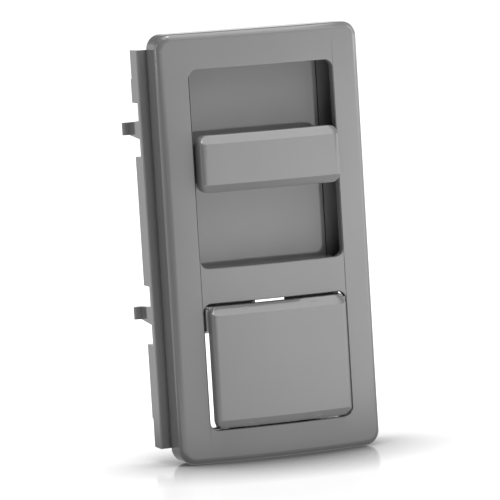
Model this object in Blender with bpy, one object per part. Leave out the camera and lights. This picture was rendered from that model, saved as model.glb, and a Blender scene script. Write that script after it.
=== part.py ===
"""Clip-on face of a decorator slide dimmer: a bowed bezel with a slide bar above a hinged push pad.

The origin is at the centre of the face, in the plane of the skirts' rear edges.
+X is to the right of someone who faces the dimmer, +Z is up and the front faces -Y.
Dimensions are in millimetres and become metres when a mesh is made.
"""

import math

import bmesh
import bpy

MM = 0.001
GAP = 0.3                   # clearance between separate mouldings

# Bezel
FACE_HALF_W = 16.5
FACE_HALF_H = 33.25
FACE_Y = -10.2              # foremost line of the bowed face
BOW_RADIUS = 85.0
FACE_CORNER = 2.3
FACE_ROUND = 1.0
FACE_THICK = 1.4
WALL = 1.5
BEZEL_REAR_Y = -3.8
LEDGE_REAR_Y = -5.1
LEDGE_THICK = 1.2
LEDGE_HALF_W = 10.3

# Openings of the bezel
OPEN_HALF_W = 11.7
WINDOW_LOW = -3.04
WINDOW_HIGH = 27.62
PAD_OPEN_LOW = -28.09
PAD_OPEN_HIGH = -8.49
OPEN_CORNER = 1.25

# Heat stakes of the bezel, through the carrier's plate
STAKE_X = 13.9
STAKE_HEIGHTS = (29.0, -5.8, -27.0)
STAKE_R = 0.9
STAKE_HEAD_R = 1.7
STAKE_HOLE_R = 1.25

# Carrier frame
PLATE_FRONT_Y = -3.5
PLATE_REAR_Y = -2.5
FLANGE_HALF_W = 18.07
FLANGE_HALF_H = 30.95
SKIRT_THICK = 1.0
END_STEP_Z = 26.5           # beyond this height the skirts are a little shallower
END_STEP_Y = -0.4
NOTCHES = ((14.45, 22.8), (-14.83, -5.65))
NOTCH_FLOOR_Y = -2.6
HOOK_CENTRES = (18.66, -10.18)
HOOK_ROOT_H = 2.84
HOOK_TIP_H = 1.95
HOOK_TIP_Y = 3.6
HOOK_BARB_Y = 2.55
HOOK_BARB_X = 19.05
HOOK_BARB_RAMP = 0.1
HOOK_BARB_LAND = 0.4
SEAT_STEP = 0.1             # the flanges stand this proud of the plate under the bezel
SEAT_INNER_X = 16.8
SLOT_X = (13.6, 14.6)       # slots for the carriage's arms, hidden under the bezel
SLOT_LOW = -1.7
SLOT_HIGH = 26.3
TRACK_WALL_X = (14.6, 15.3)
TRACK_LIP_X = 13.1          # the tracks' lips reach inwards to here, behind the carriage
TRACK_LIP_FRONT_Y = -0.6
TRACK_LOW = -1.9
TRACK_HIGH = 26.5
SHELF_X = (10.95, 13.3)     # raised shelves of the plate, on each side of the panel
SHELF_FRONT_Y = -4.3
SHELF_LOW = -4.5
SHELF_HIGH = 27.8
REAR_OPEN_LOW = -28.6
REAR_OPEN_HIGH = -8.45
REAR_OPEN_HALF_W = 11.95
SILL_HALF_W = 8.6           # raised middle of the rear opening's lower edge
SILL_TOP = -28.1
RELIEF_HALF_W = 14.4        # wide stretch of the rear opening above the bearings
RELIEF_LOW = -10.05

# Track panel
PANEL_HALF_W = 10.65
PANEL_FRONT_Y = -4.8
PANEL_REAR_Y = -3.8
PANEL_LOW = -6.0
PANEL_HIGH = 30.2
PANEL_EDGE = 0.12
PEG_X = 6.0
PEG_HEIGHTS = (29.05, -4.75)
PEG_R = 0.7
PEG_HOLE_R = 1.0

# Slide bar and its carriage
BAR_Z = 13.1
BAR_HALF_W = 11.4
BAR_HALF_H = 4.4
BAR_FRONT_Y = -12.55
BAR_REAR_Y = -9.0
BAR_CHAMFER = 1.27
BAR_ROUND = 0.67
BAR_WALL = 1.0
LEG_X = (10.93, 11.33)
LEG_HALF_H = 3.0
LEG_REAR_Y = -5.3
BARB_OUTER_X = 12.1
BARB_FRONT_Y = -6.0
BARB_HALF_H = 2.0
CARRIAGE_HALF_W = 14.3
CARRIAGE_HALF_H = 3.8
CARRIAGE_FRONT_Y = -2.2
CARRIAGE_REAR_Y = -0.9
ARM_X = (13.9, 14.3)        # arms of the carriage, through the slots
ARM_FRONT_Y = -7.0
TOE_INNER_X = 11.75         # toes that the bar's barbs grip
TOE_REAR_Y = -6.3
FORK_X = (1.2, 2.6)
FORK_HALF_H = 2.0
FORK_REAR_Y = 1.5

# Rocker pad
PAD_HALF_W = 11.1
PAD_LOW = -27.75
PAD_HIGH = -8.9
PAD_FRONT_Y = -12.1
PAD_REAR_Y = -9.3
PAD_CHAMFER = 1.3
PAD_ROUND = 0.7
PAD_WALL = 1.0
PAD_CORNER = 1.2
TAB_X = (2.4, 9.35)
TAB_TOP = -7.7
TAB_FRONT_Y = -7.95
TAB_THICK = 1.0
TAB_BEVEL = 1.05
SHOULDER_X = 11.2           # outer end of the tab, set back behind the bowed face
SHOULDER_FRONT_Y = -7.65
LIP_HALF_W = 9.8            # lip behind the pad's bottom edge
LIP_REAR_Y = -6.2
PIVOT_Y = -6.6
PIVOT_Z = -11.2
EAR_X = (10.05, 11.5)
EAR_R = 1.4
EAR_TOP = -9.3
EAR_FRONT_Y = -9.7
EAR_LOW_FRONT = -12.5
EAR_LOW = -13.2
BEARING_X = (11.8, 13.3)
BEARING_R = 1.1
PIN_X = (10.3, 13.2)
PIN_R = 0.55
PIN_HOLE_R = 0.75
POST_Z = -21.0
POST_R = 1.8
POST_REAR_Y = -3.2
RIB_THICK = 0.9
RIB_REAR_Y = -9.6

# Return springs of the pad
SPRING_X = 5.5
SPRING_HALF_W = 1.5
SPRING_THICK = 0.25
SPRING_FOOT_Y = -3.93
SPRING_FOOT_LOW = -30.6
SPRING_FOOT_HIGH = -28.9
SPRING_TIP_Y = -5.85
SPRING_TIP_Z = -23.6
STUD_R = 0.5
STUD_HOLE_R = 0.8
STUD_Z = -29.8
STUD_FRONT_Y = -4.7
BOSS_HALF_W = 1.2
BOSS_HALF_H = 0.8
BOSS_REAR_Y = -6.35

ARC_STEPS = 5
FLAT_STEPS = 14
ROUND_STEPS = 4
CIRCLE_STEPS = 20
NOSE_STEPS = 8
SPRING_STEPS = 10
BITE = 0.25                 # how far an added feature runs into its parent
CLEAR = 1.0                 # how far a cutter runs past what it cuts
CUT_FRONT_Y = -5.0          # cutters through the carrier's plate run from here back
CUT_HALF_W = 20.0
SKIN_BITE = 0.9             # features behind the pad start this far behind its foremost line


def bow(x):
    """Depth of the bowed face behind its foremost line."""
    return BOW_RADIUS - math.sqrt(BOW_RADIUS ** 2 - x * x)


def plastic(name, colour):
    material = bpy.data.materials.new(name)
    material.use_nodes = True
    shader = material.node_tree.nodes["Principled BSDF"]
    shader.inputs["Base Color"].default_value = (*colour, 1.0)
    shader.inputs["Roughness"].default_value = 0.28
    return material


def steel(name):
    material = bpy.data.materials.new(name)
    material.use_nodes = True
    shader = material.node_tree.nodes["Principled BSDF"]
    shader.inputs["Base Color"].default_value = (0.62, 0.62, 0.6, 1.0)
    shader.inputs["Metallic"].default_value = 1.0
    shader.inputs["Roughness"].default_value = 0.32
    return material


def new_object(name, shape):
    """Make an object of a bmesh in millimetres."""
    bmesh.ops.recalc_face_normals(shape, faces=shape.faces)
    bmesh.ops.scale(shape, vec=(MM, MM, MM), verts=shape.verts)
    mesh = bpy.data.meshes.new(name)
    shape.to_mesh(mesh)
    shape.free()
    item = bpy.data.objects.new(name, mesh)
    bpy.context.scene.collection.objects.link(item)
    return item


def box(x, y, z):
    """Block between two limits along each axis."""
    shape = bmesh.new()
    bmesh.ops.create_cube(shape, size=1.0)
    size = [pair[1] - pair[0] for pair in (x, y, z)]
    middle = [(pair[1] + pair[0]) / 2 for pair in (x, y, z)]
    bmesh.ops.scale(shape, vec=size, verts=shape.verts)
    bmesh.ops.translate(shape, vec=middle, verts=shape.verts)
    return new_object("block", shape)


def rod_y(x, z, y, radius):
    """Round rod along Y."""
    return prism([(x + radius * math.cos(a), z + radius * math.sin(a)) for a in circle()], "Y", y)


def rod_x(y, z, x, radius):
    """Round rod along X."""
    return prism([(y + radius * math.cos(a), z + radius * math.sin(a)) for a in circle()], "X", x)


def circle():
    return [2 * math.pi * step / CIRCLE_STEPS for step in range(CIRCLE_STEPS)]


def prism(outline, axis, span):
    """Extrude an outline along an axis; its two coordinates are the other axes, in X, Y, Z order."""
    place = {
        "X": lambda a, b: (span[0], a, b),
        "Y": lambda a, b: (a, span[0], b),
        "Z": lambda a, b: (a, b, span[0]),
    }[axis]
    step = [span[1] - span[0] if name == axis else 0.0 for name in "XYZ"]
    shape = bmesh.new()
    face = shape.faces.new([shape.verts.new(place(a, b)) for a, b in outline])
    extruded = bmesh.ops.extrude_face_region(shape, geom=[face])
    moved = [item for item in extruded["geom"] if isinstance(item, bmesh.types.BMVert)]
    bmesh.ops.translate(shape, vec=step, verts=moved)
    return new_object("prism", shape)


def rounded_chain(half_w, radius):
    """Upper half of a rounded rectangle, left to right, as x and the drop below its top edge."""
    left = []
    for step in range(ARC_STEPS + 1):
        angle = math.pi / 2 * step / ARC_STEPS
        left.append((-half_w + radius * (1 - math.cos(angle)), radius * (1 - math.sin(angle))))
    inner = half_w - radius
    flat = [(-inner + 2 * inner * step / FLAT_STEPS, 0.0) for step in range(1, FLAT_STEPS)]
    right = [(-x, drop) for x, drop in reversed(left)]
    return left + flat + right


def bowed_block(half_w, low, high, corner, layers, rear_y, front_y):
    """Block with a bowed front; layers are (side inset, end inset, depth) from the front back."""
    shape = bmesh.new()
    rings = []
    for side, end, depth in layers:
        chain = rounded_chain(half_w - side, max(corner - max(side, end), 0.25))
        rings.append([(x, front_y + bow(x) + depth, high - end - drop) for x, drop in chain]
                     + [(x, front_y + bow(x) + depth, low + end + drop) for x, drop in reversed(chain)])
    chain = rounded_chain(half_w, corner)
    rings.append([(x, rear_y, high - drop) for x, drop in chain]
                 + [(x, rear_y, low + drop) for x, drop in reversed(chain)])
    loops = [[shape.verts.new(point) for point in ring] for ring in rings]
    count = len(loops[0])
    for near, far in zip(loops, loops[1:]):
        for step in range(count):
            after = (step + 1) % count
            shape.faces.new((near[step], near[after], far[after], far[step]))
    front = loops[0]
    for step in range(count // 2 - 1):
        opposite = count - 1 - step
        shape.faces.new((front[step], front[step + 1], front[opposite - 1], front[opposite]))
    shape.faces.new(loops[-1])
    return new_object("bowed_block", shape)


def round_layers(radius):
    """Layers of a front edge rounded by the same radius on all four sides."""
    layers = []
    for step in range(ROUND_STEPS + 1):
        angle = math.pi / 2 * step / ROUND_STEPS
        inset = radius * (1 - math.sin(angle))
        layers.append((inset, inset, radius * (1 - math.cos(angle))))
    return layers


def chamfer_layers(radius, chamfer):
    """Layers of a front with rounded sides and a straight chamfer along its top and bottom."""
    layers = []
    for step in range(ROUND_STEPS + 1):
        angle = math.pi / 2 * step / ROUND_STEPS
        depth = radius * (1 - math.cos(angle))
        layers.append((radius * (1 - math.sin(angle)), chamfer - depth, depth))
    layers.append((0.0, 0.0, chamfer))
    return layers


def rounded_opening(low, high, span):
    """Cutter for an opening with rounded corners, through the face."""
    chain = rounded_chain(OPEN_HALF_W, OPEN_CORNER)
    outline = [(x, high - drop) for x, drop in chain]
    outline += [(x, low + drop) for x, drop in reversed(chain)]
    return prism(outline, "Y", span)


def combine(item, tools, operation):
    """Apply a Boolean with each tool, then remove the tools."""
    for tool in tools:
        modifier = item.modifiers.new("combine", "BOOLEAN")
        modifier.solver = "EXACT"
        modifier.operation = operation
        modifier.object = tool
        evaluated = item.evaluated_get(bpy.context.evaluated_depsgraph_get())
        mesh = bpy.data.meshes.new_from_object(evaluated)
        item.modifiers.clear()
        item.data = mesh
        bpy.data.objects.remove(tool)


def add(item, *tools):
    combine(item, tools, "UNION")


def cut(item, *tools):
    combine(item, tools, "DIFFERENCE")


def finish(item, name, material, origin=(0.0, 0.0, 0.0)):
    """Name a piece, give it its material and put its origin on its joint's axis."""
    shape = bmesh.new()
    shape.from_mesh(item.data)
    bmesh.ops.remove_doubles(shape, verts=shape.verts, dist=1e-7)
    bmesh.ops.dissolve_degenerate(shape, edges=shape.edges, dist=1e-7)
    bmesh.ops.translate(shape, vec=[-value * MM for value in origin], verts=shape.verts)
    mesh = bpy.data.meshes.new(name)
    shape.to_mesh(mesh)
    shape.free()
    mesh.materials.append(material)
    mesh.shade_smooth()
    mesh.set_sharp_from_angle(angle=math.radians(30))
    item.data = mesh
    item.name = name
    item.location = [value * MM for value in origin]
    return item


def mirrored(span, side):
    """Limits along X for the right side (1) or the left side (-1)."""
    return (span[0], span[1]) if side > 0 else (-span[1], -span[0])


def make_bezel(material):
    bezel = bowed_block(FACE_HALF_W, -FACE_HALF_H, FACE_HALF_H, FACE_CORNER,
                        round_layers(FACE_ROUND), BEZEL_REAR_Y, FACE_Y)
    cavity = bowed_block(FACE_HALF_W - WALL, -FACE_HALF_H + WALL, FACE_HALF_H - WALL,
                         FACE_CORNER - FACE_ROUND, [(0.0, 0.0, 0.0)], BEZEL_REAR_Y + 1.0,
                         FACE_Y + FACE_THICK)
    cut(bezel, cavity)
    ledge_span = (-LEDGE_HALF_W, LEDGE_HALF_W)
    ledge_depth = (FACE_Y + FACE_THICK - 0.5, LEDGE_REAR_Y)
    for low, high in ((WINDOW_HIGH - 1.0, WINDOW_HIGH + LEDGE_THICK),
                      (WINDOW_LOW - LEDGE_THICK, WINDOW_LOW + 1.0)):
        add(bezel, box(ledge_span, ledge_depth, (low, high)))
    through = (FACE_Y - 2.0, BEZEL_REAR_Y + 2.0)
    cut(bezel, rounded_opening(WINDOW_LOW, WINDOW_HIGH, through),
        rounded_opening(PAD_OPEN_LOW, PAD_OPEN_HIGH, through))
    for height in STAKE_HEIGHTS:
        for side in (1, -1):
            shank = rod_y(side * STAKE_X, height, (FACE_Y + FACE_THICK, PLATE_REAR_Y + 0.5), STAKE_R)
            head = rod_y(side * STAKE_X, height, (PLATE_REAR_Y + GAP, PLATE_REAR_Y + 1.0),
                         STAKE_HEAD_R)
            add(bezel, shank, head)
    return finish(bezel, "bezel", material)


def hook(side, height):
    """Snap hook: a tapering arm along +Y with a barb on its outer side."""
    inner = FLANGE_HALF_W - SKIRT_THICK + 0.03
    outer = FLANGE_HALF_W - 0.02
    outline = [(inner, PLATE_REAR_Y - BITE), (outer, PLATE_REAR_Y - BITE), (outer, HOOK_BARB_Y),
               (HOOK_BARB_X, HOOK_BARB_Y + HOOK_BARB_RAMP), (HOOK_BARB_X, HOOK_BARB_Y + HOOK_BARB_LAND),
               (outer + HOOK_BARB_LAND, HOOK_TIP_Y), (inner, HOOK_TIP_Y)]
    outline = [(side * x, y) for x, y in outline]
    half = HOOK_ROOT_H / 2
    arm = prism(outline, "Z", (height - half, height + half))
    taper = (HOOK_ROOT_H - HOOK_TIP_H) / 2
    for end in (1, -1):
        edge = height + end * half
        narrow = edge - end * taper
        wedge = [(PLATE_REAR_Y, edge), (HOOK_BARB_Y, narrow), (HOOK_TIP_Y + CLEAR, narrow),
                 (HOOK_TIP_Y + CLEAR, edge + end * CLEAR), (PLATE_REAR_Y, edge + end * CLEAR)]
        cut(arm, prism(wedge, "X", mirrored((inner - CLEAR, CUT_HALF_W), side)))
    return arm


def bearing_outline():
    """Bearing of the hinge pin: a round nose that runs back to the carrier's plate."""
    nose = []
    for step in range(NOSE_STEPS + 1):
        angle = math.pi / 2 + math.pi * step / NOSE_STEPS
        nose.append((PIVOT_Y + BEARING_R * math.cos(angle), PIVOT_Z + BEARING_R * math.sin(angle)))
    low = PIVOT_Z - BEARING_R
    high = PIVOT_Z + BEARING_R
    return nose + [(PLATE_FRONT_Y + BITE, low), (PLATE_FRONT_Y + BITE, high)]


def track(side):
    """Track behind the plate: a side wall and a lip that holds the carriage in."""
    outer = TRACK_WALL_X[1]
    root_y = PLATE_REAR_Y - BITE
    outline = [(TRACK_WALL_X[0], root_y), (outer, root_y), (outer, 0.0), (TRACK_LIP_X, 0.0),
               (TRACK_LIP_X, TRACK_LIP_FRONT_Y), (TRACK_WALL_X[0], TRACK_LIP_FRONT_Y)]
    return prism([(side * x, y) for x, y in outline], "Z", (TRACK_LOW, TRACK_HIGH))


def make_carrier(material):
    skirt_inner = FLANGE_HALF_W - SKIRT_THICK
    channel = [(-FLANGE_HALF_W, PLATE_FRONT_Y), (FLANGE_HALF_W, PLATE_FRONT_Y), (FLANGE_HALF_W, 0.0),
               (skirt_inner, 0.0), (skirt_inner, PLATE_REAR_Y), (-skirt_inner, PLATE_REAR_Y),
               (-skirt_inner, 0.0), (-FLANGE_HALF_W, 0.0)]
    carrier = prism(channel, "Z", (-FLANGE_HALF_H, FLANGE_HALF_H))
    cut(carrier, box((-SEAT_INNER_X, SEAT_INNER_X), (CUT_FRONT_Y, PLATE_FRONT_Y + SEAT_STEP),
                     (-FLANGE_HALF_H - CLEAR, FLANGE_HALF_H + CLEAR)))
    for end in (1, -1):
        reach = sorted((end * END_STEP_Z, end * (FLANGE_HALF_H + CLEAR)))
        cut(carrier, box((-CUT_HALF_W, CUT_HALF_W), (END_STEP_Y, CLEAR), reach))
    for side in (1, -1):
        for low, high in NOTCHES:
            cut(carrier, box(mirrored((skirt_inner - CLEAR, CUT_HALF_W), side),
                             (NOTCH_FLOOR_Y, CLEAR), (low, high)))
        for height in HOOK_CENTRES:
            add(carrier, hook(side, height))
        add(carrier, track(side))
        add(carrier, box(mirrored(SHELF_X, side), (SHELF_FRONT_Y, PLATE_FRONT_Y + SEAT_STEP + BITE),
                         (SHELF_LOW, SHELF_HIGH)))
        cut(carrier, box(mirrored(SLOT_X, side), (CUT_FRONT_Y, PLATE_REAR_Y + BITE),
                         (SLOT_LOW, SLOT_HIGH)))
    cut(carrier, box((-REAR_OPEN_HALF_W, REAR_OPEN_HALF_W), (CUT_FRONT_Y, CLEAR),
                     (REAR_OPEN_LOW, REAR_OPEN_HIGH)))
    add(carrier, box((-SILL_HALF_W, SILL_HALF_W), (PLATE_FRONT_Y + SEAT_STEP, PLATE_REAR_Y),
                     (REAR_OPEN_LOW - CLEAR, SILL_TOP)))
    cut(carrier, box((-RELIEF_HALF_W, RELIEF_HALF_W), (CUT_FRONT_Y, CLEAR), (RELIEF_LOW, REAR_OPEN_HIGH)))
    for side in (1, -1):
        add(carrier, prism(bearing_outline(), "X", mirrored(BEARING_X, side)))
        bore = mirrored((BEARING_X[0] - CLEAR, BEARING_X[1] + CLEAR), side)
        cut(carrier, rod_x(PIVOT_Y, PIVOT_Z, bore, PIN_HOLE_R))
        for height in STAKE_HEIGHTS:
            cut(carrier, rod_y(side * STAKE_X, height, (CUT_FRONT_Y, 0.0), STAKE_HOLE_R))
        for height in PEG_HEIGHTS:
            cut(carrier, rod_y(side * PEG_X, height, (CUT_FRONT_Y, 0.0), PEG_HOLE_R))
        add(carrier, rod_y(side * SPRING_X, STUD_Z, (STUD_FRONT_Y, PLATE_REAR_Y - BITE), STUD_R))
    return finish(carrier, "carrier_frame", material)


def make_panel(material):
    flat = PANEL_HALF_W - PANEL_EDGE
    side_y = PANEL_FRONT_Y + PANEL_EDGE
    outline = [(-PANEL_HALF_W, PANEL_REAR_Y), (-PANEL_HALF_W, side_y), (-flat, PANEL_FRONT_Y),
               (flat, PANEL_FRONT_Y), (PANEL_HALF_W, side_y), (PANEL_HALF_W, PANEL_REAR_Y)]
    panel = prism(outline, "Z", (PANEL_LOW, PANEL_HIGH))
    for side in (1, -1):
        for height in PEG_HEIGHTS:
            add(panel, rod_y(side * PEG_X, height, (PANEL_REAR_Y - BITE, PLATE_REAR_Y), PEG_R))
    return finish(panel, "track_panel", material)


def make_slide_bar(material):
    low = BAR_Z - BAR_HALF_H
    high = BAR_Z + BAR_HALF_H
    bar = bowed_block(BAR_HALF_W, low, high, PAD_CORNER, chamfer_layers(BAR_ROUND, BAR_CHAMFER),
                      BAR_REAR_Y, BAR_FRONT_Y)
    hollow = bowed_block(BAR_HALF_W - BAR_WALL, low + BAR_WALL, high - BAR_WALL, PAD_CORNER / 2,
                         [(0.0, BAR_CHAMFER / 2, 0.0), (0.0, 0.0, BAR_CHAMFER / 2)],
                         BAR_REAR_Y + 1.0, BAR_FRONT_Y + 1.3)
    cut(bar, hollow)
    for side in (1, -1):
        leg = box(mirrored(LEG_X, side), (BAR_REAR_Y - 1.0, LEG_REAR_Y),
                  (BAR_Z - LEG_HALF_H, BAR_Z + LEG_HALF_H))
        barb = box(mirrored((LEG_X[0] + 0.1, BARB_OUTER_X), side), (BARB_FRONT_Y, LEG_REAR_Y - 0.05),
                   (BAR_Z - BARB_HALF_H, BAR_Z + BARB_HALF_H))
        add(bar, leg, barb)
    return finish(bar, "slide_bar", material)


def arm_outline(side):
    """Arm of the carriage in plan: forward through its slot, then a toe turned inwards."""
    outline = [(ARM_X[0], CARRIAGE_FRONT_Y + BITE), (ARM_X[0], TOE_REAR_Y), (TOE_INNER_X, TOE_REAR_Y),
               (TOE_INNER_X, ARM_FRONT_Y), (ARM_X[1], ARM_FRONT_Y), (ARM_X[1], CARRIAGE_FRONT_Y + BITE)]
    return [(side * x, y) for x, y in outline]


def make_carriage(material):
    carriage = box((-CARRIAGE_HALF_W, CARRIAGE_HALF_W), (CARRIAGE_FRONT_Y, CARRIAGE_REAR_Y),
                   (BAR_Z - CARRIAGE_HALF_H, BAR_Z + CARRIAGE_HALF_H))
    for side in (1, -1):
        add(carriage, prism(arm_outline(side), "Z", (BAR_Z - LEG_HALF_H, BAR_Z + LEG_HALF_H)))
        add(carriage, box(mirrored(FORK_X, side), (CARRIAGE_REAR_Y - BITE, FORK_REAR_Y),
                          (BAR_Z - FORK_HALF_H, BAR_Z + FORK_HALF_H)))
    return finish(carriage, "slide_carriage", material)


def ear_outline():
    """Ear of the pad: slanted under its front, round about the pin, flat along its top."""
    nose = []
    for step in range(NOSE_STEPS + 1):
        angle = -math.pi / 2 + math.pi / 2 * step / NOSE_STEPS
        nose.append((PIVOT_Y + EAR_R * math.cos(angle), PIVOT_Z + EAR_R * math.sin(angle)))
    return [(EAR_FRONT_Y, EAR_TOP), (EAR_FRONT_Y, EAR_LOW_FRONT), (PIVOT_Y - 1.0, EAR_LOW),
            *nose, (PIVOT_Y + EAR_R, EAR_TOP + 0.5 - EAR_R / 2), (PIVOT_Y + EAR_R / 2, EAR_TOP)]


def tab_outline(side):
    """Top tab in plan: cut back at 45 degrees at its inner end and stepped back at its outer end."""
    rear = TAB_FRONT_Y + TAB_THICK
    outline = [(TAB_X[0], rear), (TAB_X[0], rear - TAB_THICK + TAB_BEVEL),
               (TAB_X[0] + TAB_BEVEL, TAB_FRONT_Y), (TAB_X[1], TAB_FRONT_Y),
               (TAB_X[1], SHOULDER_FRONT_Y), (SHOULDER_X, SHOULDER_FRONT_Y), (SHOULDER_X, rear)]
    return [(side * x, y) for x, y in outline]


def make_pad(material):
    pad = bowed_block(PAD_HALF_W, PAD_LOW, PAD_HIGH, PAD_CORNER,
                      chamfer_layers(PAD_ROUND, PAD_CHAMFER), PAD_REAR_Y, PAD_FRONT_Y)
    hollow = bowed_block(PAD_HALF_W - PAD_WALL, PAD_LOW + PAD_WALL, PAD_HIGH - PAD_WALL,
                         PAD_CORNER / 2, [(0.0, PAD_CHAMFER / 2, 0.0), (0.0, 0.0, PAD_CHAMFER / 2)],
                         PAD_REAR_Y + 1.0, PAD_FRONT_Y + 1.3)
    cut(pad, hollow)
    skin_y = PAD_FRONT_Y + SKIN_BITE
    rib_half = RIB_THICK / 2
    add(pad, box((-PAD_HALF_W + 0.5, PAD_HALF_W - 0.5), (skin_y, RIB_REAR_Y),
                 (POST_Z - rib_half, POST_Z + rib_half)))
    add(pad, rod_y(0.0, POST_Z, (skin_y, POST_REAR_Y), POST_R))
    add(pad, box((-LIP_HALF_W, LIP_HALF_W), (PAD_REAR_Y - 0.6, LIP_REAR_Y),
                 (PAD_LOW + 0.02, PAD_LOW + PAD_WALL - 0.02)))
    for side in (1, -1):
        ear = prism(ear_outline(), "X", mirrored(EAR_X, side))
        bore = mirrored((EAR_X[0] - BITE, EAR_X[1] + BITE), side)
        cut(ear, rod_x(PIVOT_Y, PIVOT_Z, bore, PIN_HOLE_R))
        add(pad, ear)
        rib_x = mirrored((SPRING_X - rib_half, SPRING_X + rib_half), side)
        add(pad, box(rib_x, (skin_y, RIB_REAR_Y - 0.1), (PAD_LOW + 0.5, PAD_HIGH - 0.5)))
        boss_x = mirrored((SPRING_X - BOSS_HALF_W, SPRING_X + BOSS_HALF_W), side)
        add(pad, box(boss_x, (skin_y + 0.1, BOSS_REAR_Y),
                     (SPRING_TIP_Z - BOSS_HALF_H, SPRING_TIP_Z + BOSS_HALF_H)))
        root_x = mirrored((TAB_X[0] + TAB_BEVEL + 0.15, SHOULDER_X - 0.2), side)
        add(pad, box(root_x, (PAD_REAR_Y - 0.6, TAB_FRONT_Y + TAB_THICK - 0.05),
                     (PAD_HIGH - PAD_WALL + 0.02, PAD_HIGH - 0.02)))
        add(pad, prism(tab_outline(side), "Z", (PAD_HIGH - PAD_WALL - 0.1, TAB_TOP)))
    return finish(pad, "rocker_pad", material, (0.0, PIVOT_Y, PIVOT_Z))


def make_hinge_pin(side, name, material):
    pin = rod_x(PIVOT_Y, PIVOT_Z, mirrored(PIN_X, side), PIN_R)
    return finish(pin, name, material)


def spring_line():
    """Middle line of a return spring in Y and Z: a flat foot, a bent arm and a curled tip."""
    points = [(SPRING_FOOT_Y, SPRING_FOOT_LOW), (SPRING_FOOT_Y, SPRING_FOOT_HIGH)]
    rise = SPRING_TIP_Z - SPRING_FOOT_HIGH
    for step in range(1, SPRING_STEPS + 1):
        share = step / SPRING_STEPS
        ease = share * share * (3 - 2 * share)
        points.append((SPRING_FOOT_Y + (SPRING_TIP_Y - SPRING_FOOT_Y) * ease,
                       SPRING_FOOT_HIGH + rise * share))
    points.append((SPRING_TIP_Y + 0.25, SPRING_TIP_Z + 0.8))
    return points


def strip_outline(points, thick):
    """Outline of a strip of even thickness along a line."""
    near = []
    far = []
    for step, (a, b) in enumerate(points):
        before = points[max(step - 1, 0)]
        after = points[min(step + 1, len(points) - 1)]
        run = (after[0] - before[0], after[1] - before[1])
        size = math.hypot(*run)
        across = (-run[1] / size * thick / 2, run[0] / size * thick / 2)
        near.append((a + across[0], b + across[1]))
        far.append((a - across[0], b - across[1]))
    return near + far[::-1]


def make_return_spring(side, name, material):
    span = mirrored((SPRING_X - SPRING_HALF_W, SPRING_X + SPRING_HALF_W), side)
    spring = prism(strip_outline(spring_line(), SPRING_THICK), "X", span)
    cut(spring, rod_y(side * SPRING_X, STUD_Z, (-5.0, -3.0), STUD_HOLE_R))
    return finish(spring, name, material)


def main():
    for item in list(bpy.data.objects):
        bpy.data.objects.remove(item)
    grey = plastic("grey_gloss_plastic", (0.23, 0.23, 0.235))
    metal = steel("spring_steel")
    make_bezel(grey)
    make_carrier(grey)
    make_panel(grey)
    make_slide_bar(grey)
    make_carriage(grey)
    make_pad(grey)
    for side, word in ((1, "right"), (-1, "left")):
        make_hinge_pin(side, "hinge_pin_" + word, metal)
        make_return_spring(side, "return_spring_" + word, metal)


main()
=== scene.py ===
"""Looks of the decorator dimmer face: smooth mouldings, glossy grey plastic and a white studio.

Lengths in the builders are millimetres in the row frame and become metres when a mesh is made.
"""
import math

import bmesh
import bpy
from mathutils import Matrix, Vector


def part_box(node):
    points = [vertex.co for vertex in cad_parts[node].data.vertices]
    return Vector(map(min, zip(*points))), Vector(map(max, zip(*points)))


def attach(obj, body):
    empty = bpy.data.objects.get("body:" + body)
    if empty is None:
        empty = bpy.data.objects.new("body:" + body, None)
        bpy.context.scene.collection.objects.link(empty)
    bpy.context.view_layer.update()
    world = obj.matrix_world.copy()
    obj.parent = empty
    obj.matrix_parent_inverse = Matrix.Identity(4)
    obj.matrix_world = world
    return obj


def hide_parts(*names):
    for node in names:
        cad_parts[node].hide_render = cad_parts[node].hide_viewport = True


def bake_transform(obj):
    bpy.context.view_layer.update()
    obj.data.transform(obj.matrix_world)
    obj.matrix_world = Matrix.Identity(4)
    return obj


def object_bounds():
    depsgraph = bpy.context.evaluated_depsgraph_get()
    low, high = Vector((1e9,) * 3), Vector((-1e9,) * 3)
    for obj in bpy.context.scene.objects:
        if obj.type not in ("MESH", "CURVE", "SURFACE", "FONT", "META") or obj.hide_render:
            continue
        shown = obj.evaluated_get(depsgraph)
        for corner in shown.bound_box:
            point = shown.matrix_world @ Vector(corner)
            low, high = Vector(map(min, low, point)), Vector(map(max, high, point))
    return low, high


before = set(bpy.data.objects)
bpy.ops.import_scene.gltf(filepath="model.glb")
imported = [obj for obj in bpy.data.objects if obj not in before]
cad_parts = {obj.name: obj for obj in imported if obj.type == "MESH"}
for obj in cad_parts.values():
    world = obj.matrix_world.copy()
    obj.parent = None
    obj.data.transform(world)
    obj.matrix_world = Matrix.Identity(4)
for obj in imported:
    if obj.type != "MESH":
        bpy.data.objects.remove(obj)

CAD_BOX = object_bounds()
MM = 0.001


def limits(node):
    """Lowest and highest corner of a CAD node, in millimetres."""
    return [[value / MM for value in corner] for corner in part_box(node)]


BEZEL_MIN, BEZEL_MAX = limits("bezel")
CARRIER_MAX = limits("carrier_frame")[1]
PANEL_MIN, PANEL_MAX = limits("track_panel")
BAR_MIN, BAR_MAX = limits("slide_bar")
PAD_MIN, PAD_MAX = limits("rocker_pad")
CARRIAGE_MIN, CARRIAGE_MAX = limits("slide_carriage")
PIN_MIN, PIN_MAX = limits("hinge_pin_right")

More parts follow.
